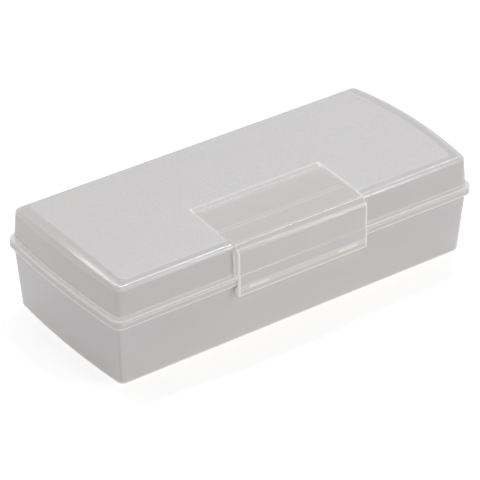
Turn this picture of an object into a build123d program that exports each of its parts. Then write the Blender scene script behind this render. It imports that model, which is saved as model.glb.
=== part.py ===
from build123d import *
import math
import os

# Hinged polypropylene box with a rocking clasp at the front.
# The origin is the centre of the underside, +Z is up, the clasp faces -Y. Millimetres.

# ---- rim, shared by tray and lid ----
rim_length = 200.0          # over the middle of the bowed ends
rim_depth = 88.4
rim_corner = 4.4
end_bow = 2.0               # how far each end bows outwards
parting_height = 33.9       # along the front and the back
end_rise = 0.85             # the parting line lies this much higher along the ends
end_rise_half = 33.8        # half length of the raised stretch
end_rise_ramp = 5.0         # length of the S-shaped ramp at each end of it
parting_gap = 0.1
tray_rim_chamfer = 0.25
lid_rim_chamfer = 0.2

# ---- tray ----
tray_wall = 1.6
tray_floor = 1.6
tray_flange = 3.0
tray_overhang_front = 1.8   # flange beyond the front and back walls
tray_overhang_end = 1.2
tray_lean_front = 1.8       # draft of the front and back walls over their height
tray_lean_end = 2.4
tray_corner = 3.4
tray_inner_corner = 2.6
tray_bottom_round = 1.0
tray_inner_round = 1.6
foot_steps = 3              # facets of the rounds at the tray's bottom

# ---- lid ----
lid_wall = 1.4
lid_top = 1.6
lid_flange = 1.45
lid_ledge = 1.7             # width of the flange outside the wall
lid_height = 16.3           # front edge of the top above the parting line
lid_lean = 0.85             # draft of the walls over their height
lid_corner = 3.6
lid_inner_corner = 2.6
lid_edge_round = 2.2
lid_inner_chamfer = 0.6
lid_crown = 2.1             # rise of the top between its front and back edges
crown_inset = 2.1           # the crown's rise is counted from this far inside the wall

# ---- clasp ----
clasp_width = 71.2
clasp_thickness = 1.4
plate_inset = 0.55          # the plate is this much narrower than the apron on each side
plate_side_gap = 0.3
pad_depth = 0.9             # the press pad lies this far below the lid's top
pad_rear = 11.8             # places in front of the centre plane
pad_front = 27.9
plate_rear = 31.0
bend_radius = 4.65
apron_thickness = 1.05
apron_step = 0.35           # outward step that carries the apron over the rim
apron_step_above = 0.45     # height of the step above the lid's flange
apron_clearance = 0.15      # between apron and rim
ledge_clearance = 0.3
apron_drop = 8.7            # lower edge below the parting line
return_thickness = 1.4      # side returns that close the apron's ends
return_clearance = 0.25
pull_lip_rise = 1.2
hook_depth = 1.15
hook_height = 2.6
hook_clearance = 0.3        # between hook and flange
hook_slope = 50.0           # of the hook's upper face, in degrees
hook_end_inset = 2.0
apron_corner = 1.0
clasp_edge_chamfer = 0.3
plate_edge_chamfer = 0.25
snap_hook_length = 10.0
snap_hook_centre = 24.5
snap_hook_depth = 0.6
pivot_place = 29.5          # rocking axis in front of the centre plane
pivot_drop = 2.9            # rocking axis below the lid's crowned face
trunnion_radius = 1.1
trunnion_length = 1.4
trunnion_clearance = 0.08
ear_radius = 2.0
ear_thickness = 1.6

# ---- clasp pocket in the lid ----
pocket_wall = 1.8
pocket_floor = 1.4
pocket_ramp_top = 8.7       # rear edge of the thumb ramp in front of the centre plane
pocket_edge_chamfer = 0.25
pad_rear_gap = 0.5
pad_travel = 2.6
trough_clearance = 0.25
trough_half = 4.2           # the trough under the ears starts this far behind the axis

# ---- rear hinges ----
hinge_inset = 38.0          # middle of each hinge from the rim's end
hinge_length = 30.0
lid_knuckle_length = 14.6
knuckle_radius = 1.7
knuckle_gap = 0.3
pin_radius = 0.8
pin_press_gap = 0.01
pin_running_gap = 0.07
pin_recess = 0.4
pin_chamfer = 0.15
heel_reach = 2.9
heel_angle = 21.0           # of the heel's stop face above the horizontal, in degrees

# ---- derived sizes ----
front = -rim_depth / 2
rear = rim_depth / 2
tray_length = rim_length - 2 * tray_overhang_end
tray_depth = rim_depth - 2 * tray_overhang_front
flange_bottom = parting_height - tray_flange
lid_length = rim_length - 2 * lid_ledge
lid_depth = rim_depth - 2 * lid_ledge
ledge_height = parting_height + lid_flange
top_edge = parting_height + lid_height
peak = top_edge + lid_crown
crown_half = lid_depth / 2 - lid_lean - crown_inset
crown_radius = (crown_half ** 2 + lid_crown ** 2) / (2 * lid_crown)
clear_above = peak + lid_height
clear_below = -tray_floor
hinge_centre = rim_length / 2 - hinge_inset
hinge_spots = [(-hinge_centre, rear, parting_height), (hinge_centre, rear, parting_height)]
notch_radius = knuckle_radius + knuckle_gap
tray_notch_length = lid_knuckle_length + 2 * knuckle_gap
tray_knuckle_length = (hinge_length - tray_notch_length) / 2
along_x = (0, 90, 0)
touch = 0.01                # closer than this, an edge lies on a plane


def crown_height(y):
    """Height of the lid's crowned face at a distance y from the centre plane."""
    return peak - crown_radius + math.sqrt(crown_radius ** 2 - y ** 2)


def bowed_plan(length, depth, corner, height):
    """Plan outline with straight long sides, bowed ends and round corners."""
    side = length / 2 - end_bow
    with BuildSketch(Plane.XY.offset(height)) as plan:
        with BuildLine():
            Line((-side, -depth / 2), (side, -depth / 2))
            ThreePointArc((side, -depth / 2), (length / 2, 0), (side, depth / 2))
            Line((side, depth / 2), (-side, depth / 2))
            ThreePointArc((-side, depth / 2), (-length / 2, 0), (-side, -depth / 2))
        make_face()
        fillet(plan.vertices(), corner)
    return plan.sketch


def tray_front_lean(height):
    """How far the tray's front wall lies inside its place at the rim, at a height."""
    return tray_lean_front * (1 - height / parting_height)


def tray_plan(height, inset, corner):
    """Plan of the tray's drafted wall at a height, moved inwards by inset."""
    length = tray_length - 2 * tray_lean_end * (1 - height / parting_height) - 2 * inset
    depth = tray_depth - 2 * tray_front_lean(height) - 2 * inset
    return bowed_plan(length, depth, corner, height)


def tray_shape(floor, top, inset, corner, foot_round):
    """Drafted solid inside the tray's wall, drawn in near its floor to round the foot in a few facets."""
    plans = []
    for step in range(foot_steps + 1):
        turn = math.pi / 2 * step / foot_steps
        drawn_in = foot_round * (1 - math.sin(turn))
        height = floor + foot_round * (1 - math.cos(turn))
        plans.append(tray_plan(height, inset + drawn_in, corner - drawn_in))
    plans.append(tray_plan(top, inset, corner))
    return loft(plans, ruled=True)


def lid_wall_lean(height):
    """How far the lid's wall has moved inwards at a height."""
    return lid_lean * (height - ledge_height) / (top_edge - ledge_height)


def lid_plan(height, inset, corner):
    """Plan of the lid's drafted wall at a height, moved inwards by inset."""
    shrink = 2 * lid_wall_lean(height) + 2 * inset
    return bowed_plan(lid_length - shrink, lid_depth - shrink, corner, height)


def below_parting(gap):
    """Everything below the parting surface, which climbs an S-shaped ramp towards each end."""
    low = parting_height + gap
    high = low + end_rise
    ramp_end = end_rise_half + end_rise_ramp
    with BuildPart() as block:
        with BuildSketch(Plane.YZ):
            with BuildLine():
                Line((-rim_depth, low), (-ramp_end, low))
                Spline((-ramp_end, low), (-end_rise_half, high), tangents=((1, 0), (1, 0)))
                Line((-end_rise_half, high), (end_rise_half, high))
                Spline((end_rise_half, high), (ramp_end, low), tangents=((1, 0), (1, 0)))
                Line((ramp_end, low), (rim_depth, low))
                Line((rim_depth, low), (rim_depth, clear_below))
                Line((rim_depth, clear_below), (-rim_depth, clear_below))
                Line((-rim_depth, clear_below), (-rim_depth, low))
            make_face()
        extrude(amount=rim_length, both=True)
    return block.part


def below_crown(drop):
    """Everything between the underside and the crowned face, lowered by drop."""
    edge = lid_depth / 2
    edge_height = crown_height(edge) - drop
    with BuildPart() as block:
        with BuildSketch(Plane.YZ):
            with BuildLine():
                ThreePointArc((-edge, edge_height), (0, peak - drop), (edge, edge_height))
                Line((edge, edge_height), (edge, 0))
                Line((edge, 0), (-edge, 0))
                Line((-edge, 0), (-edge, edge_height))
            make_face()
        extrude(amount=rim_length, both=True)
    return block.part


def outer_edges(plate):
    """Upper and lower edges round the outside of a rim plate."""
    inner = rim_depth / 2 - rim_corner
    across = [edge for edge in plate.edges().filter_by(Axis.X) if abs(edge.center().Y) < inner]
    upright = plate.edges().filter_by(Axis.Z)
    return [edge for edge in plate.edges() if edge not in across and edge not in upright]


def on_side(edge, half):
    """Whether an edge lies in one of the two upright planes a distance half from the middle."""
    return edge.bounding_box().size.X < touch and abs(abs(edge.center().X) - half) < touch


def is_slanting(edge):
    """Whether an edge in an upright plane is open and neither level nor plumb."""
    size = edge.bounding_box().size
    return not edge.is_closed and min(size.Y, size.Z) > touch


def knuckles(length, gap_between, web):
    """Knuckles of a length on each hinge axis: one in the middle, or a pair with a gap between them."""
    starts = [-length / 2] if gap_between == 0 else [-gap_between / 2 - length, gap_between / 2]
    with BuildPart() as row:
        for spot in hinge_spots:
            for start in starts:
                with BuildSketch(Plane.YZ.offset(spot[0] + start)):
                    with Locations((rear, parting_height)):
                        Circle(knuckle_radius)
                    Polygon(*web, align=None)
                extrude(amount=length)
    return row.part


# ---- base tray ----
tray_hollow = tray_shape(tray_floor, top_edge, tray_wall, tray_inner_corner, tray_inner_round)
tray_wall_solid = tray_shape(0, ledge_height, 0, tray_corner, tray_bottom_round)
tray_top = below_parting(0)
rim_plan = bowed_plan(rim_length, rim_depth, rim_corner, flange_bottom)
with BuildPart() as tray_rim:
    extrude(rim_plan, amount=tray_flange + end_rise)
    add(tray_top, mode=Mode.INTERSECT)
    chamfer(outer_edges(tray_rim), tray_rim_chamfer)
tray_web = [
    (rear - tray_overhang_front, flange_bottom),
    (rear, flange_bottom),
    (rear + knuckle_radius, parting_height),
    (rear - tray_overhang_front, parting_height),
]
tray_knuckles = knuckles(tray_knuckle_length, tray_notch_length, tray_web)

with BuildPart() as base_tray:
    add(tray_wall_solid)
    add(tray_top, mode=Mode.INTERSECT)
    add(tray_rim.part)
    add(tray_hollow, mode=Mode.SUBTRACT)
    with Locations(*hinge_spots):
        Cylinder(notch_radius, tray_notch_length, rotation=along_x, mode=Mode.SUBTRACT)
    add(tray_knuckles)
    with Locations(*hinge_spots):
        Cylinder(pin_radius + pin_press_gap, 2 * hinge_length, rotation=along_x, mode=Mode.SUBTRACT)

# ---- lid ----
pocket_half = clasp_width / 2 - plate_inset + plate_side_gap
pocket_back = -(pad_rear - pad_rear_gap)
pocket_rear_floor = crown_height(pad_rear) - pad_depth - clasp_thickness - pad_travel
pivot_height = crown_height(pivot_place) - pivot_drop
socket_radius = trunnion_radius + trunnion_clearance
socket_reach = pocket_half + trunnion_length
trough_floor = pivot_height - ear_radius - trough_clearance
trough_back = -(pivot_place - trough_half)
pocket_outline = [
    (-pocket_ramp_top, clear_above),
    (-pocket_ramp_top, crown_height(pocket_ramp_top)),
    (pocket_back, crown_height(pad_rear) - pad_depth),
    (pocket_back, pocket_rear_floor),
    (trough_back, pocket_rear_floor),
    (trough_back, trough_floor),
    (-rim_depth, trough_floor),
    (-rim_depth, clear_above),
]
with BuildPart() as pocket:
    with BuildSketch(Plane.YZ):
        Polygon(*pocket_outline, align=None)
    extrude(amount=pocket_half, both=True)

with BuildPart() as pocket_housing:
    with BuildSketch(Plane.YZ):
        Polygon(*pocket_outline, align=None)
        offset(amount=pocket_floor, kind=Kind.INTERSECTION)
    extrude(amount=pocket_half + pocket_wall, both=True)

lid_inside = below_crown(lid_top)
with BuildPart() as lid_hollow:
    loft(
        [
            lid_plan(flange_bottom, lid_wall, lid_inner_corner),
            lid_plan(peak, lid_wall, lid_inner_corner),
        ],
        ruled=True,
    )
    add(lid_inside, mode=Mode.INTERSECT)
    chamfer(lid_hollow.faces().sort_by(Axis.Z)[-1].edges(), lid_inner_chamfer)
    add(pocket_housing.part, mode=Mode.SUBTRACT)

heel_slope = math.radians(heel_angle)
heel_web = [
    (rear - lid_ledge, ledge_height),
    (rear - lid_ledge, parting_height + knuckle_radius),
    (rear + heel_reach * math.cos(heel_slope), parting_height + knuckle_radius),
    (rear + heel_reach * math.cos(heel_slope), parting_height + heel_reach * math.sin(heel_slope)),
    (rear, parting_height),
]
lid_knuckles = knuckles(lid_knuckle_length, 0, heel_web)
lid_wall_solid = loft([lid_plan(parting_height, 0, lid_corner), lid_plan(peak, 0, lid_corner)], ruled=True)
lid_outside = below_crown(0)
lid_bottom = below_parting(parting_gap)
ledge_plan = bowed_plan(rim_length, rim_depth, rim_corner, parting_height)
with BuildPart() as lid_rim:
    extrude(ledge_plan, amount=lid_flange)
    add(lid_bottom, mode=Mode.SUBTRACT)
    chamfer(outer_edges(lid_rim), lid_rim_chamfer)

with BuildPart() as lid:
    add(lid_wall_solid)
    add(lid_outside, mode=Mode.INTERSECT)
    fillet(lid.faces().sort_by(Axis.Z)[-1].edges(), lid_edge_round)
    add(lid_bottom, mode=Mode.SUBTRACT)
    add(lid_rim.part)
    add(lid_hollow.part, mode=Mode.SUBTRACT)
    add(pocket.part, mode=Mode.SUBTRACT)
    pocket_rim = [edge for edge in lid.edges() if on_side(edge, pocket_half) and is_slanting(edge)]
    across = lid.edges().filter_by(Axis.X)
    pocket_rear = [edge for edge in across if abs(edge.center().Y + pocket_ramp_top) < touch]
    chamfer(pocket_rim + pocket_rear, pocket_edge_chamfer)
    with Locations(*hinge_spots):
        Cylinder(notch_radius, hinge_length + 2 * knuckle_gap, rotation=along_x, mode=Mode.SUBTRACT)
    add(lid_knuckles)
    with Locations(*hinge_spots):
        Cylinder(pin_radius + pin_running_gap, hinge_length, rotation=along_x, mode=Mode.SUBTRACT)
    with Locations((0, -pivot_place, pivot_height)):
        Cylinder(socket_radius, 2 * socket_reach, rotation=along_x, mode=Mode.SUBTRACT)

# ---- clasp ----
plate_half = clasp_width / 2 - plate_inset
apron_face = front - apron_clearance - apron_thickness
apron_back = front - apron_clearance
apron_bottom = parting_height - apron_drop
upper_face = apron_face + apron_step
upper_back = upper_face + clasp_thickness
step_low = ledge_height + apron_step_above
above_ledge = ledge_height + ledge_clearance
hook_top = flange_bottom - hook_clearance
hook_fall = math.tan(math.radians(hook_slope))

# The bend is an arc that touches the crowned face above and the apron's face in front.
crown_centre = peak - crown_radius
bend_y = upper_face + bend_radius
bend_z = crown_centre + math.sqrt((crown_radius - bend_radius) ** 2 - bend_y ** 2)
bend_turn = math.atan2(bend_z - crown_centre, bend_y)
half_turn = (bend_turn + math.pi) / 2
inner_radius = bend_radius - clasp_thickness
pad_middle = (pad_rear + pad_front) / 2
plate_middle = (plate_rear - bend_y) / 2


def bend_point(radius, angle):
    """Point on an arc about the bend's centre, at an angle from +Y."""
    return (bend_y + radius * math.cos(angle), bend_z + radius * math.sin(angle))


def crown_point(place, drop):
    """Point a drop below the crowned face, at a distance in front of the centre plane."""
    return (-place, crown_height(place) - drop)


def clasp_outer_line():
    """Outer line of the clasp from the pad's rear edge over the bend to the apron's lower edge."""
    ThreePointArc(
        crown_point(pad_rear, pad_depth),
        crown_point(pad_middle, pad_depth),
        crown_point(pad_front, pad_depth),
    )
    Line(crown_point(pad_front, pad_depth), crown_point(plate_rear, 0))
    ThreePointArc(
        crown_point(plate_rear, 0),
        crown_point(plate_middle, 0),
        bend_point(bend_radius, bend_turn),
    )
    ThreePointArc(
        bend_point(bend_radius, bend_turn),
        bend_point(bend_radius, half_turn),
        bend_point(bend_radius, math.pi),
    )


def clasp_apron_line():
    """Front of the apron, from the bend down over the step to the lower edge."""
    Polyline(
        bend_point(bend_radius, math.pi),
        (upper_face, step_low + apron_step),
        (apron_face, step_low),
        (apron_face, apron_bottom),
        (apron_back, apron_bottom),
    )


def clasp_inner_line():
    """Inner line of the clasp from the apron's lower edge back to the pad's rear edge."""
    pad_drop = pad_depth + clasp_thickness
    Polyline(
        (apron_back, apron_bottom),
        (apron_back, above_ledge),
        (upper_back, above_ledge),
        bend_point(inner_radius, math.pi),
    )
    ThreePointArc(
        bend_point(inner_radius, math.pi),
        bend_point(inner_radius, half_turn),
        bend_point(inner_radius, bend_turn),
    )
    ThreePointArc(
        bend_point(inner_radius, bend_turn),
        crown_point(plate_middle, clasp_thickness),
        crown_point(plate_rear, clasp_thickness),
    )
    Line(crown_point(plate_rear, clasp_thickness), crown_point(pad_front, pad_drop))
    ThreePointArc(
        crown_point(pad_front, pad_drop),
        crown_point(pad_middle, pad_drop),
        crown_point(pad_rear, pad_drop),
    )
    Line(crown_point(pad_rear, pad_drop), crown_point(pad_rear, pad_depth))


def lid_front(height):
    """Place along Y of the lid's front wall at a height."""
    return lid_wall_lean(height) - lid_depth / 2


def near_crown(edge):
    """Whether an edge runs along the pad's or the plate's outer face."""
    middle = edge @ 0.5
    return middle.Y > bend_y and crown_height(middle.Y) - middle.Z < pad_depth + touch


return_back = tray_front_lean(hook_top) - tray_depth / 2 - return_clearance
return_region = [
    (lid_front(peak) - return_clearance, peak),
    (lid_front(above_ledge) - return_clearance, above_ledge),
    (apron_back, above_ledge),
    (apron_back, hook_top),
    (return_back, hook_top - hook_fall * (return_back - apron_back)),
    (return_back, apron_bottom + pull_lip_rise),
    (apron_back, apron_bottom),
    (-rim_depth, apron_bottom),
    (-rim_depth, peak),
]
hook_tip = apron_back + hook_depth
snap_tip = hook_tip + snap_hook_depth
hook_bottom = hook_top - hook_height
hook_outline = [
    (apron_back, hook_top),
    (hook_tip, hook_top - hook_fall * hook_depth),
    (hook_tip, hook_bottom),
    (apron_back, hook_bottom),
]
snap_outline = [
    (hook_tip, hook_top - hook_fall * hook_depth),
    (snap_tip, hook_top - hook_fall * (hook_depth + snap_hook_depth)),
    (snap_tip, hook_bottom),
    (hook_tip, hook_bottom),
]

with BuildPart() as clasp:
    with BuildSketch(Plane.YZ):
        with BuildLine():
            clasp_outer_line()
            clasp_apron_line()
            clasp_inner_line()
        make_face()
    extrude(amount=plate_half, both=True)
    with BuildSketch(Plane.YZ.offset(clasp_width / 2 - return_thickness)):
        with BuildLine():
            clasp_outer_line()
            clasp_apron_line()
            Polyline((apron_back, apron_bottom), (-pad_rear, apron_bottom), crown_point(pad_rear, pad_depth))
        make_face()
        Polygon(*return_region, align=None, mode=Mode.INTERSECT)
    side_return = extrude(amount=return_thickness)
    mirror(side_return, about=Plane.YZ)
    with BuildSketch(Plane.YZ):
        Polygon(*hook_outline, align=None)
    extrude(amount=clasp_width / 2 - hook_end_inset, both=True)
    for side in (-1, 1):
        with BuildSketch(Plane.YZ.offset(side * snap_hook_centre)):
            Polygon(*snap_outline, align=None)
        extrude(amount=snap_hook_length / 2, both=True)
        with Locations((side * (plate_half - ear_thickness / 2), -pivot_place, pivot_height)):
            Cylinder(ear_radius, ear_thickness, rotation=along_x)
        with Locations((side * (plate_half + trunnion_length / 2), -pivot_place, pivot_height)):
            Cylinder(trunnion_radius, trunnion_length, rotation=along_x)
    fillet(clasp.edges().filter_by(Axis.Y).group_by(Axis.Z)[0], apron_corner)
    apron_sides = [
        edge
        for edge in clasp.edges()
        if on_side(edge, clasp_width / 2) and edge.bounding_box().min.Y < upper_face + touch
    ]
    chamfer(apron_sides, clasp_edge_chamfer)
    plate_sides = [edge for edge in clasp.edges() if on_side(edge, plate_half) and near_crown(edge)]
    plate_rear_edge = clasp.edges().filter_by(Axis.X).group_by(Axis.Y)[-1].sort_by(Axis.Z)[-1]
    chamfer(plate_sides + [plate_rear_edge], plate_edge_chamfer)

# ---- hinge pins ----
pin_length = hinge_length - 2 * pin_recess
hinge_pins = []
for spot in hinge_spots:
    with BuildPart() as hinge_pin:
        with Locations(spot):
            Cylinder(pin_radius, pin_length, rotation=along_x)
        chamfer(hinge_pin.edges().filter_by(GeomType.CIRCLE), pin_chamfer)
    hinge_pins.append(hinge_pin.part)

# ---- labels and files ----
base_tray.part.label = "base_tray"
lid.part.label = "lid"
clasp.part.label = "clasp"
hinge_pins[0].label = "hinge_pin_left"
hinge_pins[1].label = "hinge_pin_right"

os.makedirs("parts", exist_ok=True)
export_step(base_tray.part, "parts/base_tray.step")
export_step(lid.part, "parts/lid.step")
export_step(clasp.part, "parts/clasp.step")
export_step(hinge_pins[0], "parts/hinge_pin_left.step")
export_step(hinge_pins[1], "parts/hinge_pin_right.step")
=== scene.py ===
"""Frosted hinged box with a clear rocking clasp: finishes, floor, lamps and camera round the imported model."""
import functools
import math
from collections import namedtuple

import bpy
from mathutils import Matrix, Vector


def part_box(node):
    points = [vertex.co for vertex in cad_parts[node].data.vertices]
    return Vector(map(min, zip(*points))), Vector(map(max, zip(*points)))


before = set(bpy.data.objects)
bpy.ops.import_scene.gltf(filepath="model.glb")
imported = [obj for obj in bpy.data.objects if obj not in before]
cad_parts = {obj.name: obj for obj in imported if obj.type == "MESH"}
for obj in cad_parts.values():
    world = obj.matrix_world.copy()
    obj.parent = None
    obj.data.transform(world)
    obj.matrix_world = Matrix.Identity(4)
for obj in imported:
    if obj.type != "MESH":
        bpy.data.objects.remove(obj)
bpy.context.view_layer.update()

MM = 0.001
WHITE = (1, 1, 1, 1)

# ---- camera ----
# Fitted to the outline, the rim, the parting line and the clasp in the photograph.
VIEW_AZIMUTH = math.radians(36.1)
VIEW_ELEVATION = math.radians(31.42)
VIEW_DISTANCE = 1.249
VIEW_HEIGHT = 28 * MM
VIEW_END = 50
LENS = 207.05
SENSOR = 36.0
SHIFT = (-0.00703, -0.03415)

# ---- the mouldings at rest ----
# Halves are measured from the middle of the box, depths from there to the front, and heights from its foot.
# A pair says where a form, or the rise of a mask from 0 to 1, starts and ends.
lid_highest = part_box("lid")[1].z
clasp_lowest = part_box("clasp")[0].z

PARTING = 33.9 * MM
END_RISE = 0.85 * MM
END_RISE_HALF = 33.8 * MM
END_RISE_RAMP = 5.0 * MM
TRAY_FLANGE = 3.0 * MM
LID_FLANGE = 1.45 * MM
END_BOW = 2.0 * MM
RIM_HALF_DEPTH = 44.2 * MM
POCKET_HALF = 35.35 * MM
POCKET_REAR = 8.7 * MM
PLATE_HALF = 35.05 * MM
PLATE_REAR = 11.8 * MM
PAD_STEP = (27.9 * MM, 31.0 * MM)
BEND_START = 40.9 * MM
APRON_HALF = 35.6 * MM
APRON_STEP = 35.8 * MM
HOOK = (28.0 * MM, 30.6 * MM)
SNAP_CENTRE = 24.5 * MM
SNAP_HALF = 5.0 * MM

# ---- painted light lines along the edges: their width, and how far a mask takes to fade ----
EDGE_LINE = 0.3 * MM
SOFT = 0.3 * MM

# Numbers of the Mix node's colour sockets, because their names also belong to other sockets.
MIX_FIRST = 6
MIX_SECOND = 7
MIX_RESULT = 2


class Flow:
    """A socket in a material's node tree. Arithmetic on it adds Math nodes."""

    def __init__(self, tree, socket):
        self.tree = tree
        self.socket = socket

    def combine(self, operation, *terms):
        """Adds a Math node that takes the terms in their order."""
        return add_node(self.tree, "Math", {"operation": operation}, dict(enumerate(terms)))

    def __add__(self, other):
        return self.combine("ADD", self, other)

    def __radd__(self, other):
        return self.combine("ADD", other, self)

    def __sub__(self, other):
        return self.combine("SUBTRACT", self, other)

    def __rsub__(self, other):
        return self.combine("SUBTRACT", other, self)

    def __mul__(self, other):
        return self.combine("MULTIPLY", self, other)

    def __rmul__(self, other):
        return self.combine("MULTIPLY", other, self)

    def __truediv__(self, other):
        return self.combine("DIVIDE", self, other)

    def __neg__(self):
        return self.combine("MULTIPLY", self, -1)

    def __abs__(self):
        return self.combine("ABSOLUTE", self)

    def __pow__(self, other):
        return self.combine("POWER", self, other)

    def at_least(self, other):
        """The larger of this and another."""
        return self.combine("MAXIMUM", self, other)

    def at_most(self, other):
        """The smaller of this and another."""
        return self.combine("MINIMUM", self, other)


# Where a point of a piece lies at rest, in metres: as a vector and as its coordinates.
Place = namedtuple("Place", "tree position x y z")


def add_node(tree, kind, settings=None, values=None, output=0):
    """Adds a shader node, sets it up, feeds its sockets and returns one of its outputs, if it has any."""
    node = tree.nodes.new("ShaderNode" + kind)
    for name, value in (settings or {}).items():
        setattr(node, name, value)
    for name, value in (values or {}).items():
        if isinstance(value, Flow):
            tree.links.new(value.socket, node.inputs[name])
        else:
            node.inputs[name].default_value = value
    return Flow(tree, node.outputs[output]) if node.outputs else None


def coordinates(vector):
    """The three coordinates of a vector."""
    split = add_node(vector.tree, "SeparateXYZ", values={0: vector}).socket.node
    return [Flow(vector.tree, output) for output in split.outputs]


def place(tree):
    """Where each point of the piece lies at rest."""
    position = add_node(tree, "TexCoord", output="Object")
    return Place(tree, position, *coordinates(position))


def noise(at, size, detail=2.0, roughness=0.5):
    """Noise from 0 to 1 with features about size metres apart."""
    settings = {"noise_dimensions": "3D"}
    values = {"Vector": at.position, "Scale": 1 / size, "Detail": detail, "Roughness": roughness}
    return add_node(at.tree, "TexNoise", settings, values)


def streaks(at, size):
    """Noise with more detail, which makes a surface unevenly rough."""
    return noise(at, size, detail=3.0)


def ramp(value, low, high):
    """0 below low, 1 above high and smooth between them."""
    values = {"Value": value, "From Min": low, "From Max": high}
    return add_node(value.tree, "MapRange", {"interpolation_type": "SMOOTHSTEP"}, values)


def up_to(value, limit, soft=SOFT):
    """1 up to the limit, fading to 0 over soft."""
    return 1 - ramp(value, limit, limit + soft)


def line(value, middle, half, soft=SOFT):
    """1 within half of the middle, fading to 0 over soft."""
    return up_to(abs(value - middle), half, soft)


def strongest(*weighted):
    """The largest of several masks, each given with its share."""
    return functools.reduce(Flow.at_least, [mask * share for mask, share in weighted])


def colour_mix(share, first, second):
    """Colour between two, each a plain colour or a colour socket."""
    values = {"Factor": share}
    for socket, colour in ((MIX_FIRST, first), (MIX_SECOND, second)):
        values[socket] = colour if isinstance(colour, Flow) else (*colour, 1)
    return add_node(share.tree, "Mix", {"data_type": "RGBA"}, values, output=MIX_RESULT)


def new_material(name, constants):
    """New material with constants on its Principled shader's own sockets."""
    material = bpy.data.materials.new(name)
    material.use_nodes = True
    shader = material.node_tree.nodes["Principled BSDF"]
    for socket, value in constants.items():
        shader.inputs[socket].default_value = value
    return material, material.node_tree, shader


def feed(tree, shader, **flows):
    """Links flows to the Principled shader's sockets, named with underscores."""
    for name, flow in flows.items():
        tree.links.new(flow.socket, shader.inputs[name.replace("_", " ")])


def dress(node, material):
    """Gives a CAD node its finish."""
    node.data.materials.clear()
    node.data.materials.append(material)


# ---- what the mouldings share ----
# In the finishes a plain number beside a mask or a noise is its share of the mix, from 0 to 1.
# Painted edge light: a pale colour that paints highlights and glow along edges and lines; the lid's grain is
# also paled with it.
PAINTED_EDGE_LIGHT_AND_PALE_GRAIN = (0.92, 0.90, 0.885)
# Painted light in a warmer tone, for the parting line, the ledge, the foot edges and the clasp's thicker parts.
PAINTED_LIGHT_BEIGE = (0.925, 0.88, 0.825)
PLASTIC_IOR = 1.49
# Painted glow: strength and colour of the plastic's emission, which lifts its shade.
PAINTED_GLOW_STRENGTH = 0.25
PAINTED_GLOW_COLOUR = (1, 0.98, 0.95)
WAVINESS = 9 * MM
WAVINESS_RELIEF = 0.6
UNEVENNESS = 0.5 * MM
UNEVENNESS_RELIEF = 0.06
BUMP_DISTANCE = 0.2 * MM
STREAK_ROUGHNESS = 0.04


def milky_base(name, gloss):
    """Frosted shell with light scattered in its walls: its material, its shader and its place."""
    material, tree, shader = new_material(
        name,
        {
            "IOR": PLASTIC_IOR,
            "Subsurface Weight": 0.5,
            "Subsurface Radius": (1.0, 0.97, 0.93),
            "Subsurface Scale": 5 * MM,
            "Specular IOR Level": gloss,
            # strength of the painted glow, which the emission colour feeds
            "Emission Strength": PAINTED_GLOW_STRENGTH,
        },
    )
    return material, shader, place(tree)


def moulded_bump(at, strength, height_map=None):
    """Bump from the mould's waviness and fine unevenness, and an optional height map."""
    waves = noise(at, WAVINESS, detail=1.0) * WAVINESS_RELIEF
    height = waves + noise(at, UNEVENNESS) * UNEVENNESS_RELIEF
    if height_map is not None:
        height = height + height_map
    values = {"Strength": strength, "Distance": BUMP_DISTANCE, "Height": height}
    return add_node(at.tree, "Bump", values=values)


def painted_glow(share):
    """Share of painted glow: emission standing in for light that the plastic carries inside its walls, which
    lifts the shade.
    """
    return colour_mix(share, (0, 0, 0), PAINTED_GLOW_COLOUR)


def parting_height(at):
    """Height of the parting line, which lies higher along the ends."""
    return PARTING + END_RISE * up_to(abs(at.y), END_RISE_HALF, END_RISE_RAMP)


# ---- tray ----
TRAY_GLOSS = 0.5
TRAY_ROUGHNESS = 0.2
TRAY_MILKY = (0.66, 0.647, 0.65)
TRAY_WARM = (0.688, 0.656, 0.642)
# painted light low on the front wall
TRAY_PAINTED_LOW_LIGHT = (0.80, 0.755, 0.73)
# painted shade down the upright corners
TRAY_PAINTED_CORNER_SHADE = (0.45, 0.44, 0.43)
TRAY_CLOUDS = 35 * MM
TRAY_STREAKS = 6 * MM
MIDDLE_HALF = (20 * MM, 95 * MM)
FRONT_WALL_DEPTH = (30 * MM, 38 * MM)
LOW_HEIGHT = 26 * MM
FLANGE_FOOT = PARTING - TRAY_FLANGE
FLANGE_FOOT_LINE = FLANGE_FOOT + 0.2 * MM
FOOT_HEIGHT = 0.9 * MM
FOOT_SOFT = 0.5 * MM
CORNER_SOFT = 1 * MM
CORNER_FACING = (0.45, 0.5)
APRON_GLOW_HALF = APRON_HALF - 2 * MM
APRON_GLOW_SOFT = 5 * MM
APRON_GLOW_HEIGHT = (14 * MM, 24 * MM)
APRON_GLOW_DEPTH = (40 * MM, 41 * MM)


def upright_corners(at):
    """Mask of the tray's upright corners below its flange, where shade is painted."""
    facing_x, facing_y, _ = coordinates(add_node(at.tree, "NewGeometry", output="Normal"))
    below_flange = up_to(at.z, FLANGE_FOOT - CORNER_SOFT, CORNER_SOFT)
    return ramp(abs(facing_x * facing_y), *CORNER_FACING) * below_flange


def behind_apron(at):
    """Mask of the front wall round the foot of the clasp's apron, where a painted glow lifts the shade under
    the apron.
    """
    beside = up_to(abs(at.x), APRON_GLOW_HALF, APRON_GLOW_SOFT)
    return beside * ramp(at.z, *APRON_GLOW_HEIGHT) * ramp(-at.y, *APRON_GLOW_DEPTH)


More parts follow.
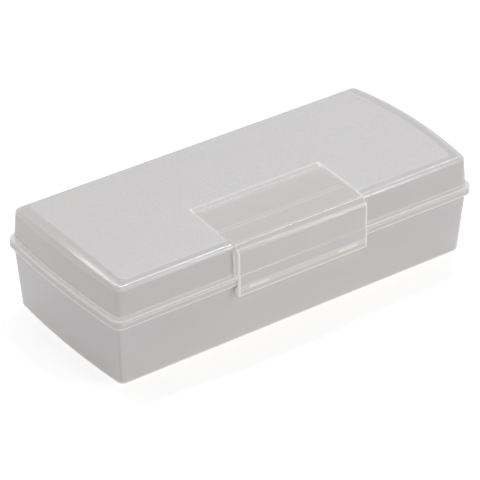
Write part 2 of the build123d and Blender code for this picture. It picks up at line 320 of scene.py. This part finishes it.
def tray_finish():
    """Satin tray, warmer in the middle, paler and warmer low down on its front as painted light, with painted
    shade down its upright corners and painted light and glow along its rim and foot edges and under the clasp's
    apron.
    """
    material, shader, at = milky_base("milky_tray", TRAY_GLOSS)
    middle = 1 - ramp(abs(at.x), *MIDDLE_HALF)
    low = up_to(at.z, 0, LOW_HEIGHT)
    front = ramp(-at.y, *FRONT_WALL_DEPTH)
    rim = up_to(parting_height(at) - at.z, EDGE_LINE)
    flange_foot = line(at.z, FLANGE_FOOT_LINE, EDGE_LINE)
    foot = up_to(at.z, FOOT_HEIGHT, FOOT_SOFT)
    warm = (0.1 + middle * 0.7 + noise(at, TRAY_CLOUDS) * 0.3).at_most(1)
    colour = colour_mix(warm, TRAY_MILKY, TRAY_WARM)
    # Painted light: paler low down on the front wall, most in the middle, lifting the shade near the floor.
    colour = colour_mix(low * (0.2 + front * (0.3 + 0.4 * middle)), colour, TRAY_PAINTED_LOW_LIGHT)
    # Painted shade down the tray's upright corners.
    colour = colour_mix(upright_corners(at) * 0.25, colour, TRAY_PAINTED_CORNER_SHADE)
    # Painted light lines along the parting line, the flange's foot edge and the tray's foot.
    colour = colour_mix(rim.at_least(flange_foot).at_least(foot), colour, PAINTED_LIGHT_BEIGE)
    # Painted glow under the clasp's apron, along the flange's foot edge and along the foot.
    lit = strongest((behind_apron(at), 0.15), (flange_foot, 0.25), (foot, 0.5))
    feed(
        at.tree, shader,
        Base_Color=colour,
        Roughness=TRAY_ROUGHNESS + streaks(at, TRAY_STREAKS) * STREAK_ROUGHNESS,
        Emission_Color=painted_glow(lit),
        Normal=moulded_bump(at, strength=0.15),
    )
    return material


# ---- lid: its plain faces ----
LID_GLOSS = 1.0
LID_ROUGHNESS = 0.13
PANEL_ROUGHER = 0.37
LEDGE_ROUGHER = 0.25
# painted shade: the lid's walls are darker than its top
LID_WALL_PAINTED_SHADE = (0.624, 0.605, 0.597)
LID_TOP = (0.642, 0.629, 0.631)
LID_TOP_WARM = (0.67, 0.638, 0.624)
LID_BORDER = (0.65, 0.634, 0.634)
LID_CLOUDS = 40 * MM
LID_STREAKS = 7 * MM
TOP_HEIGHT = (lid_highest - 4 * MM, lid_highest - 2.5 * MM)
END_BORDER_HALF = (91 * MM, 93 * MM)
GRAIN_HALF_LENGTH = 91.9 * MM
GRAIN_HALF_DEPTH = 38.6 * MM
GRAIN_MIDDLE = 0.9 * MM
GRAIN_CORNER = 4 * MM
GRAIN_EDGE = 1.8 * MM
GRAIN_SIZE = 0.5 * MM
GRAIN_LIGHT = (0.35, 0.7)
GRAIN_RELIEF = 4.0
GRAIN_LINE = 0.6 * MM
GRAIN_LINE_HALF = (90 * MM, 92 * MM)

# ---- lid: its edges ----
END_SHOULDER_HALF = 94.8 * MM
END_SHOULDER_SOFT = 1.0 * MM
END_SHOULDER_DEPTH = (-20 * MM, 20 * MM)
END_EDGE_HALF = (95.2 * MM, 95.9 * MM)
FRONT_EDGE_DEPTH = (39.3 * MM, 39.9 * MM)
ROUND_EDGE_HEIGHT = (47.9 * MM, 48.6 * MM)
LEDGE = PARTING + LID_FLANGE
LEDGE_HEIGHT = (LEDGE + 0.2 * MM, LEDGE + 1.4 * MM)
LEDGE_CORNER = LEDGE + 0.3 * MM
LEDGE_CORNER_HALF = 0.4 * MM
LEDGE_CORNER_SOFT = 0.9 * MM
LEDGE_FRONT_DEPTH = (38 * MM, 41 * MM)

# ---- lid: its pocket for the clasp ----
# painted light under the clasp
UNDER_CLASP_PAINTED_LIGHT = (0.93, 0.92, 0.91)
POCKET_SIDE = (POCKET_HALF - SOFT, POCKET_HALF)
POCKET_START = (POCKET_REAR - SOFT, POCKET_REAR)
POCKET_FRONT = (39 * MM, 40 * MM)
SIDE_LINE = POCKET_HALF + 0.2 * MM
SIDE_LINE_HALF = 0.3 * MM
REAR_LINE_HALF = 0.35 * MM
PLATE_START = (PLATE_REAR, PLATE_REAR + SOFT)
SIDE_GAP_HALF = 0.7 * MM
SIDE_GAP_END = (POCKET_HALF + 0.1 * MM, POCKET_HALF + 0.3 * MM)
REAR_GAP_HALF = 0.6 * MM


def bowed_length(at):
    """Distance along the box from its middle, counted so that it is the same all along a bowed end."""
    return abs(at.x) + END_BOW * (at.y / RIM_HALF_DEPTH) ** 2


def grained_panel(at):
    """Mask of the grained panel, a rectangle with round corners and bowed ends."""
    out_x = (bowed_length(at) - (GRAIN_HALF_LENGTH - GRAIN_CORNER)).at_least(0)
    out_y = (abs(at.y - GRAIN_MIDDLE) - (GRAIN_HALF_DEPTH - GRAIN_CORNER)).at_least(0)
    reach = (out_x * out_x + out_y * out_y) ** 0.5
    return 1 - ramp(reach, GRAIN_CORNER - GRAIN_EDGE, GRAIN_CORNER)


def plain_lid_colour(at, top, panel, grain):
    """The lid's walls with painted shade, the smooth border of its top with painted shade towards the ends, the
    grained panel and a painted light line along the panel's front.
    """
    bowed = bowed_length(at)
    border = top * (1 - panel)
    panel_front = line(-at.y, GRAIN_HALF_DEPTH - GRAIN_MIDDLE - GRAIN_LINE, GRAIN_LINE)
    panel_front = panel_front * (1 - ramp(bowed, *GRAIN_LINE_HALF))
    colour = colour_mix(noise(at, LID_CLOUDS) * 0.5, LID_TOP, LID_TOP_WARM)
    # Painted shade: the walls are darker than the top.
    colour = colour_mix(1 - top, colour, LID_WALL_PAINTED_SHADE)
    colour = colour_mix(border, colour, LID_BORDER)
    # Painted shade on the smooth border towards the ends.
    colour = colour_mix(border * ramp(bowed, *END_BORDER_HALF), colour, LID_WALL_PAINTED_SHADE)
    colour = colour_mix(panel * ramp(grain, *GRAIN_LIGHT) * 0.3, colour, PAINTED_EDGE_LIGHT_AND_PALE_GRAIN)
    # Painted light line along the front edge of the grained panel.
    return colour_mix(panel_front * top * 0.1, colour, PAINTED_EDGE_LIGHT_AND_PALE_GRAIN)


def with_painted_edge_light(at, colour, top, ledge):
    """Adds painted light: painted highlights and glow on the lid's round top edges, and painted light on its
    ledge and along the parting line.
    """
    bowed = bowed_length(at)
    round_edge = ramp(at.z, *ROUND_EDGE_HEIGHT)
    front_edge = ramp(abs(at.y), *FRONT_EDGE_DEPTH) * round_edge
    end_edge = ramp(bowed, *END_EDGE_HALF) * round_edge
    end_painted_highlight = line(bowed, END_SHOULDER_HALF, EDGE_LINE, END_SHOULDER_SOFT)
    end_painted_highlight = end_painted_highlight * top * ramp(-at.y, *END_SHOULDER_DEPTH)
    # Painted highlights and glow on the round top edges; the end's shoulder is a painted highlight.
    edges = strongest((front_edge, 0.12), (end_edge, 0.2), (end_painted_highlight, 0.35))
    colour = colour_mix(edges, colour, PAINTED_EDGE_LIGHT_AND_PALE_GRAIN)
    # Painted light on the ledge.
    colour = colour_mix(ledge * 0.4, colour, PAINTED_LIGHT_BEIGE)
    # Painted light line along the parting line.
    parting = up_to(at.z - parting_height(at), EDGE_LINE)
    return colour_mix(parting * 0.65, colour, PAINTED_LIGHT_BEIGE)


def with_painted_pocket_light(at, colour, top):
    """Adds painted light under the clasp, on the floor of its pocket and the front wall behind it, and painted
    light lines round the pocket.
    """
    depth = -at.y
    under_clasp = up_to(abs(at.x), APRON_HALF) * ramp(depth, *PLATE_START)
    beside_plate = ramp(abs(at.x), *POCKET_SIDE) * (1 - ramp(depth, *POCKET_FRONT))
    under_clasp = under_clasp * (1 - top * beside_plate)
    # Painted light under the clasp, on the pocket's floor and the front wall behind the apron.
    colour = colour_mix(under_clasp * 0.8, colour, UNDER_CLASP_PAINTED_LIGHT)
    side = line(abs(at.x), SIDE_LINE, SIDE_LINE_HALF) * ramp(depth, *POCKET_START)
    rear = line(depth, POCKET_REAR, REAR_LINE_HALF) * up_to(abs(at.x), POCKET_HALF)
    # Painted light lines round the pocket.
    return colour_mix(side.at_least(rear) * top * 0.4, colour, PAINTED_EDGE_LIGHT_AND_PALE_GRAIN)


def lid_painted_glow(at, top):
    """Painted glow carried to the corner above the ledge and to the gaps round the clasp, lifting the shade
    there.
    """
    depth = -at.y
    corner = line(at.z, LEDGE_CORNER, LEDGE_CORNER_HALF, LEDGE_CORNER_SOFT)
    corner = corner * (0.5 - ramp(abs(at.y), *LEDGE_FRONT_DEPTH) * 0.1)
    side_gap = line(abs(at.x), POCKET_HALF, SIDE_GAP_HALF) * ramp(depth, *POCKET_START)
    side_gap = side_gap * (1 - top * ramp(abs(at.x), *SIDE_GAP_END))
    rear_gap = line(depth, PLATE_REAR, REAR_GAP_HALF) * up_to(abs(at.x), POCKET_HALF)
    return painted_glow(strongest((corner, 1.0), (side_gap, 0.8), (rear_gap, 0.5)))


def lid_finish():
    """Satin lid with a finely grained panel inside a smooth border on its top, painted shade on its walls, and
    painted light and glow on its edges, ledge, pocket and gaps.
    """
    material, shader, at = milky_base("milky_lid", LID_GLOSS)
    top = ramp(at.z, *TOP_HEIGHT)
    ledge = 1 - ramp(at.z, *LEDGE_HEIGHT)
    panel = grained_panel(at) * top
    grain = noise(at, GRAIN_SIZE, roughness=0.6)
    colour = plain_lid_colour(at, top, panel, grain)
    colour = with_painted_edge_light(at, colour, top, ledge)
    roughness = LID_ROUGHNESS + panel * PANEL_ROUGHER + ledge * LEDGE_ROUGHER
    feed(
        at.tree, shader,
        Base_Color=with_painted_pocket_light(at, colour, top),
        Roughness=roughness + streaks(at, LID_STREAKS) * STREAK_ROUGHNESS,
        Emission_Color=lid_painted_glow(at, top),
        Normal=moulded_bump(at, strength=0.12, height_map=panel * grain * GRAIN_RELIEF),
    )
    return material


# ---- clasp ----
CLEAR = (0.735, 0.714, 0.71)
CLEAR_WARM = (0.755, 0.732, 0.712)
CLEAR_ALPHA = 0.86
CLOUD_ALPHA = 0.04
EDGE_ALPHA = 0.1
CLASP_ROUGHNESS = 0.12
CLASP_STREAK_ROUGHNESS = 0.05
CLASP_CLOUDS = 14 * MM
CLASP_STREAKS = 3 * MM
SIDE_EDGE_HALF = (APRON_HALF - 1.3 * MM, APRON_HALF - 0.9 * MM)
SIDE_EDGE_TOP = (47 * MM, 50 * MM)
PLATE_EDGE_HALF = (PLATE_HALF - 0.7 * MM, PLATE_HALF - 0.3 * MM)
REAR_EDGE_DEPTH = (PLATE_REAR + 0.4 * MM, PLATE_REAR + 0.8 * MM)
BEND_LINE = BEND_START - 0.5 * MM
BEND_LINE_HALF = 0.25 * MM
BEND_HEIGHT = (49 * MM, 49.5 * MM)
PAD_LINE_HALF = 0.2 * MM
CREASE = APRON_STEP + 0.1 * MM
CREASE_HALF = 0.35 * MM
LIP_HEIGHT = 0.9 * MM
LIP_SOFT = 0.5 * MM
HOOK_MIDDLE = (HOOK[0] + HOOK[1]) / 2
HOOK_HALF = (HOOK[1] - HOOK[0]) / 2
SNAP_SOFT = 0.8 * MM
SNAP_HEIGHT = HOOK[0] + 0.9 * MM
SNAP_HEIGHT_HALF = 0.6 * MM


def clasp_finish():
    """Clear smooth clasp with a faint milkiness, painted light lines along its edges and bend, lighter where
    its plastic is thick (partly its milkiness, partly painted light), and a painted glow.
    """
    constants = {"IOR": PLASTIC_IOR, "Emission Strength": PAINTED_GLOW_STRENGTH}
    material, tree, shader = new_material("clear_clasp", constants)
    at = place(tree)
    depth = -at.y
    side = ramp(abs(at.x), *SIDE_EDGE_HALF) * (1 - ramp(at.z, *SIDE_EDGE_TOP))
    plate_edge = ramp(abs(at.x), *PLATE_EDGE_HALF)
    rear_edge = 1 - ramp(depth, *REAR_EDGE_DEPTH)
    bend = line(depth, BEND_LINE, BEND_LINE_HALF) * ramp(at.z, *BEND_HEIGHT)
    pad_rear, pad_front = (line(depth, step, PAD_LINE_HALF) for step in PAD_STEP)
    crease = line(at.z, CREASE, CREASE_HALF)
    lip = up_to(at.z, clasp_lowest + LIP_HEIGHT, LIP_SOFT)
    hook = line(at.z, HOOK_MIDDLE, HOOK_HALF)
    snap = line(abs(at.x), SNAP_CENTRE, SNAP_HALF, SNAP_SOFT) * line(at.z, SNAP_HEIGHT, SNAP_HEIGHT_HALF)
    # Painted light lines along the clasp's edges, its bend and its pad.
    edges = strongest(
        (side, 0.7), (plate_edge, 0.4), (rear_edge, 0.5), (bend, 0.3), (pad_rear, 0.25), (pad_front, 0.35)
    )
    # Lighter where the plastic is thick: partly the milkier thick plastic, partly painted light.
    thick = strongest((crease, 0.25), (lip, 0.9), (hook, 0.45), (snap, 1.0))
    # Painted glow along the edges and thick parts.
    lit = strongest((side, 0.25), (rear_edge, 0.3), (lip, 0.15), (hook, 0.1), (snap, 0.3))
    cloud = noise(at, CLASP_CLOUDS)
    colour = colour_mix(cloud * 0.6, CLEAR, CLEAR_WARM)
    colour = colour_mix(edges, colour, PAINTED_EDGE_LIGHT_AND_PALE_GRAIN)
    feed(
        tree, shader,
        Base_Color=colour_mix(thick, colour, PAINTED_LIGHT_BEIGE),
        Roughness=CLASP_ROUGHNESS + streaks(at, CLASP_STREAKS) * CLASP_STREAK_ROUGHNESS,
        Alpha=(CLEAR_ALPHA + cloud * CLOUD_ALPHA + edges * EDGE_ALPHA).at_most(1),
        Emission_Color=painted_glow(lit),
        Normal=moulded_bump(at, strength=0.06),
    )
    return material


# ---- hinge pins ----
STEEL_DARK = (0.42, 0.42, 0.43)
STEEL_LIGHT = (0.58, 0.58, 0.59)
DRAWING_MARKS = 0.4 * MM
STEEL_ROUGHNESS = 0.25
MARK_ROUGHNESS = 0.2


def pin_finish():
    """Drawn steel wire with fine marks on it."""
    material, tree, shader = new_material("drawn_wire", {"Metallic": 1.0})
    marks = streaks(place(tree), DRAWING_MARKS)
    feed(
        tree, shader,
        Base_Color=colour_mix(marks, STEEL_DARK, STEEL_LIGHT),
        Roughness=STEEL_ROUGHNESS + marks * MARK_ROUGHNESS,
    )
    return material


# ---- floor, surroundings and lamps ----
FLOOR_HALF = 6.0
FLOOR_COLOUR = (0.82, 0.82, 0.82)
FLOOR_GLOW = 0.485
WORLD_LEVEL = 0.435
DEPTH_AXIS = (0, 1, 0)
END_LEANS = (19, 35)
END_LAMP_DISTANCE = 1.4
END_LAMP_OFFSET = Vector((0, -0.23, 0))
STRIP_AXIS = (0.148, -0.495, -0.816)


def seen_share(tree):
    """1 for rays that see, directly, mirrored or through something clear, and 0 for rays that light."""
    rays = ("Is Camera Ray", "Is Glossy Ray", "Is Transmission Ray")
    return functools.reduce(Flow.at_least, [add_node(tree, "LightPath", output=ray) for ray in rays])


def pale_floor():
    """Plain white floor that keeps the box's shadow."""
    mesh = bpy.data.meshes.new("floor")
    corners = [(x * FLOOR_HALF, y * FLOOR_HALF, 0) for x, y in ((-1, -1), (1, -1), (1, 1), (-1, 1))]
    mesh.from_pydata(corners, [], [(0, 1, 2, 3)])
    floor = bpy.data.objects.new("floor", mesh)
    bpy.context.scene.collection.objects.link(floor)
    material, tree, shader = new_material(
        "white_paper",
        {
            "Base Color": (*FLOOR_COLOUR, 1),
            "Roughness": 0.9,
            "Specular IOR Level": 0.1,
            "Emission Color": WHITE,
        },
    )
    feed(tree, shader, Emission_Strength=seen_share(tree) * FLOOR_GLOW)
    mesh.materials.append(material)


def studio_world():
    """Even surroundings, white where they are seen and greyer where they light."""
    world = bpy.data.worlds.new("studio")
    world.use_nodes = True
    tree = world.node_tree
    tree.nodes.clear()
    level = WORLD_LEVEL + seen_share(tree) * (1 - WORLD_LEVEL)
    surroundings = add_node(tree, "Background", values={"Color": WHITE, "Strength": level})
    add_node(tree, "OutputWorld", values={"Surface": surroundings})
    bpy.context.scene.world = world


def sight_line():
    """Direction in which the camera looks."""
    flat = math.cos(VIEW_ELEVATION)
    return Vector((math.sin(VIEW_AZIMUTH) * flat, math.cos(VIEW_AZIMUTH) * flat, -math.sin(VIEW_ELEVATION)))


def mirrored(lean):
    """Direction that the left end's round top edge mirrors to the camera, where it leans outwards by lean."""
    eye = -sight_line()
    facing = Vector((-math.sin(lean), 0, math.cos(lean)))
    return 2 * facing.dot(eye) * facing - eye


def softbox(name, direction, distance, width, height, watts, along=(1, 0, 0)):
    """Rectangular soft lamp in a direction from the box, turned to it, its width along a given axis."""
    light = bpy.data.lights.new(name, "AREA")
    light.shape = "RECTANGLE"
    light.size = width
    light.size_y = height
    light.energy = watts
    lamp = bpy.data.objects.new(name, light)
    back = Vector(direction).normalized()
    side = Vector(along).normalized()
    away = (back - side * back.dot(side)).normalized()
    turn = Matrix((side, away.cross(side), away)).transposed()
    lamp.matrix_world = Matrix.Translation(back * distance) @ turn.to_4x4()
    bpy.context.scene.collection.objects.link(lamp)


def lamps():
    """Softboxes that the lid's round edges mirror to the camera, and two that light the walls."""
    for number, lean in enumerate(END_LEANS):
        spot = mirrored(math.radians(lean)) * END_LAMP_DISTANCE + END_LAMP_OFFSET
        name = "end_softbox_%d" % number
        softbox(name, spot, spot.length, width=0.28, height=0.7, watts=1.7, along=DEPTH_AXIS)
    softbox("rear_strip", (0.555, 0.381, 1.144), distance=1.33, width=0.61, height=0.14, watts=3.3)
    softbox(
        "front_strip", (0.705, -0.995, 0.608),
        distance=1.36, width=1.2, height=0.12, watts=2.8, along=STRIP_AXIS,
    )
    softbox(
        "side_softbox", (-1.0, -0.45, 0.25),
        distance=1.6, width=1.0, height=0.8, watts=2.0, along=DEPTH_AXIS,
    )
    softbox("fill_softbox", (0.15, -1.0, 0.3), distance=1.6, width=1.2, height=0.8, watts=2.9)


def camera():
    """Long lens looking down on the box's front left corner."""
    lens = bpy.data.cameras.new("camera")
    lens.sensor_width = SENSOR
    lens.lens = LENS
    lens.shift_x, lens.shift_y = SHIFT
    lens.clip_end = VIEW_END
    look = sight_line()
    right = Vector((math.cos(VIEW_AZIMUTH), -math.sin(VIEW_AZIMUTH), 0))
    turn = Matrix((right, right.cross(look), -look)).transposed()
    eye = bpy.data.objects.new("camera", lens)
    eye.matrix_world = Matrix.Translation(Vector((0, 0, VIEW_HEIGHT)) - VIEW_DISTANCE * look) @ turn.to_4x4()
    bpy.context.scene.collection.objects.link(eye)
    bpy.context.scene.camera = eye


dress(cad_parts["base_tray"], tray_finish())
dress(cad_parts["lid"], lid_finish())
dress(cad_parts["clasp"], clasp_finish())
pin_wire = pin_finish()
for pin in ("hinge_pin_left", "hinge_pin_right"):
    dress(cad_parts[pin], pin_wire)

pale_floor()
studio_world()
lamps()
camera()

bpy.context.scene.view_settings.view_transform = "Standard"
